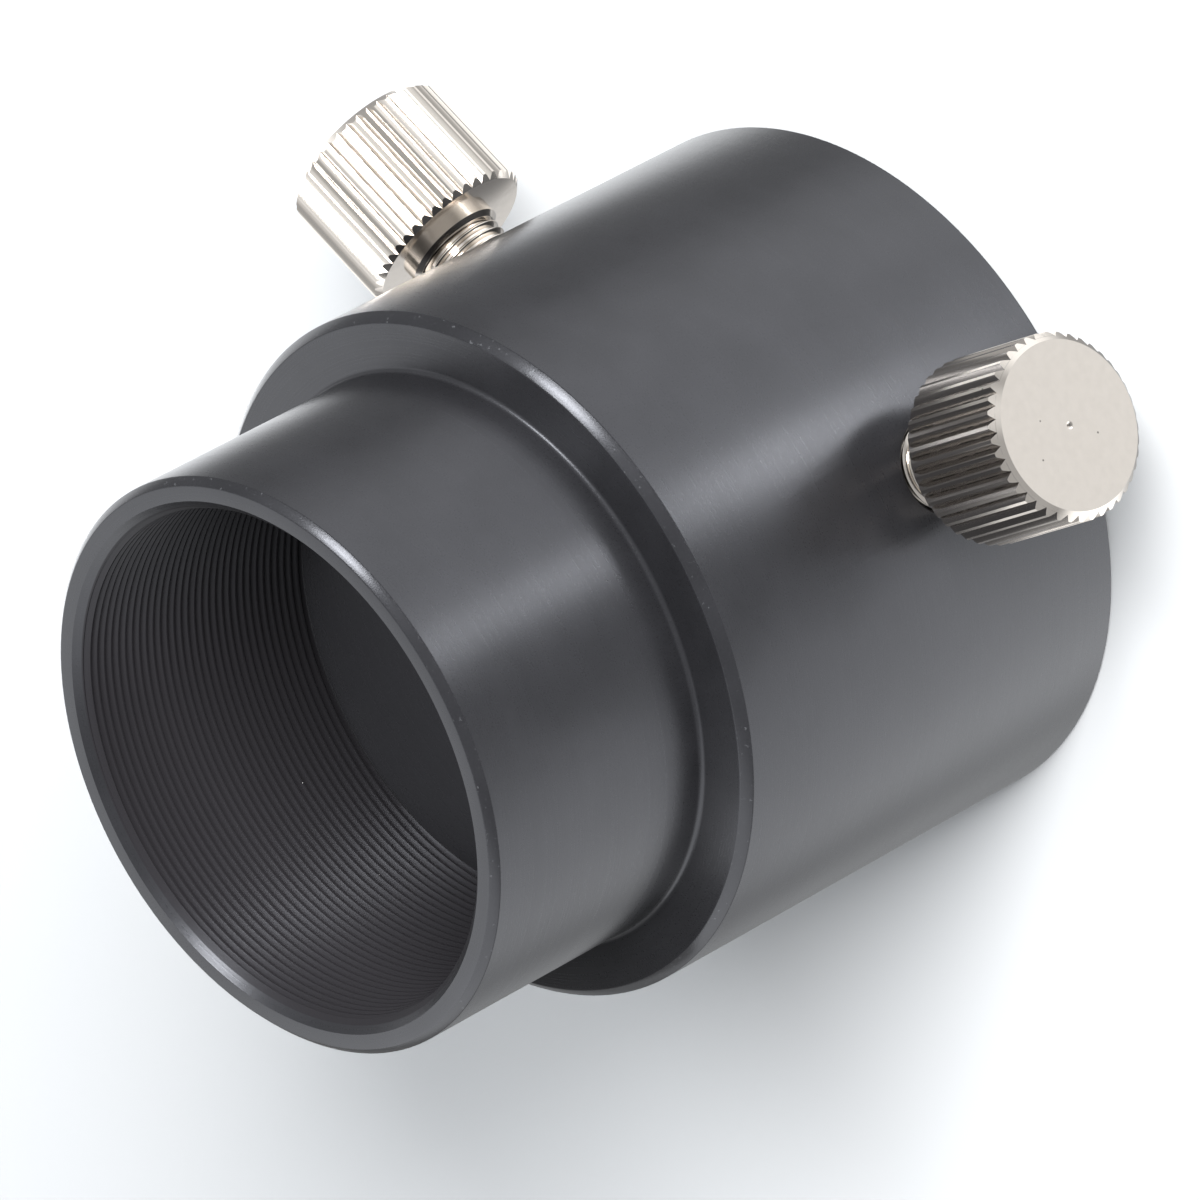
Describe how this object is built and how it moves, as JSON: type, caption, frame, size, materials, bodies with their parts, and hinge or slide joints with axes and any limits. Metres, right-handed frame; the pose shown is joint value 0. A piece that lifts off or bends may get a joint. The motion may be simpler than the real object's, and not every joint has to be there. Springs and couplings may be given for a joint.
{
  "type": "lens tube",
  "caption": "Short stepped eyepiece extension tube: threaded push-in nose, wider socket barrel, and knurled clamp screws that grip the eyepiece.",
  "frame": {"origin": "centre of the flat rear ring that the tube stands on, on the tube's axis", "axes": "+Z along the tube's axis, from the eyepiece socket to the nose; -Y midway between the clamp screws"},
  "size_m": [0.0552, 0.0381, 0.0427],
  "materials": {
    "tube": "black anodised, satin, turned",
    "clamp_screw": "polished nickel plate"
  },
  "bodies": {
    "tube": {"tube": "tube"},
    "screw_1": {"clamp_screw_1": "clamp_screw"},
    "screw_2": {"clamp_screw_2": "clamp_screw"}
  },
  "joints": [
    {"name": "clamp_screw_1_travel", "type": "slide", "parent": "tube", "child": "screw_1", "axis": [-0.866, -0.5, 0], "range_m": [-0.0014, 0.0011]},
    {"name": "clamp_screw_2_travel", "type": "slide", "parent": "tube", "child": "screw_2", "axis": [0.866, -0.5, 0], "range_m": [-0.0014, 0.0011]}
  ]
}
